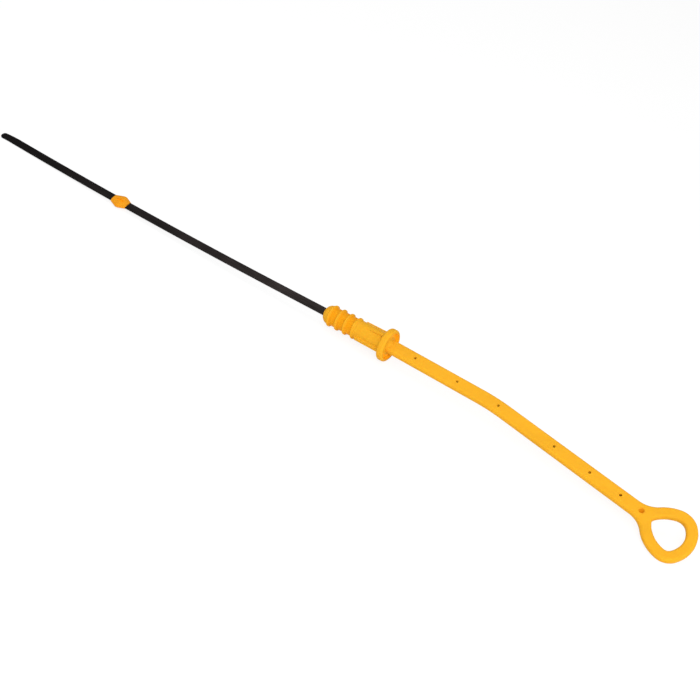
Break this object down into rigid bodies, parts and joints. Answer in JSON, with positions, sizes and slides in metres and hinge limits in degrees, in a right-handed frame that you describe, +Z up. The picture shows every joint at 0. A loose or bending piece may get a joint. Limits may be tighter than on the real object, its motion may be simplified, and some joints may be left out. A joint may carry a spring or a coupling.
{
  "type": "engine oil dipstick",
  "caption": "Springy steel strip with a measuring tip and a guide bead, moulded into a plastic handle with a finger loop, a seating flange and sealing fins.",
  "frame": {"origin": "centre of the flange's seating face, on the collar's axis", "axes": "+X along the collar from the measuring tip to the finger loop (tilted up by 1.9 degrees as it lies), +Z up from the ground it rests on"},
  "size_m": [0.5517, 0.0472, 0.0209],
  "materials": {
    "strip_steel": "blackened spring steel, satin",
    "handle_plastic": "yellow-orange moulded plastic, satin gloss",
    "bead_plastic": "orange moulded plastic, satin gloss"
  },
  "bodies": {
    "root": {"blade": "strip_steel", "handle": "handle_plastic", "guide_bead": "bead_plastic"}
  },
  "joints": []
}
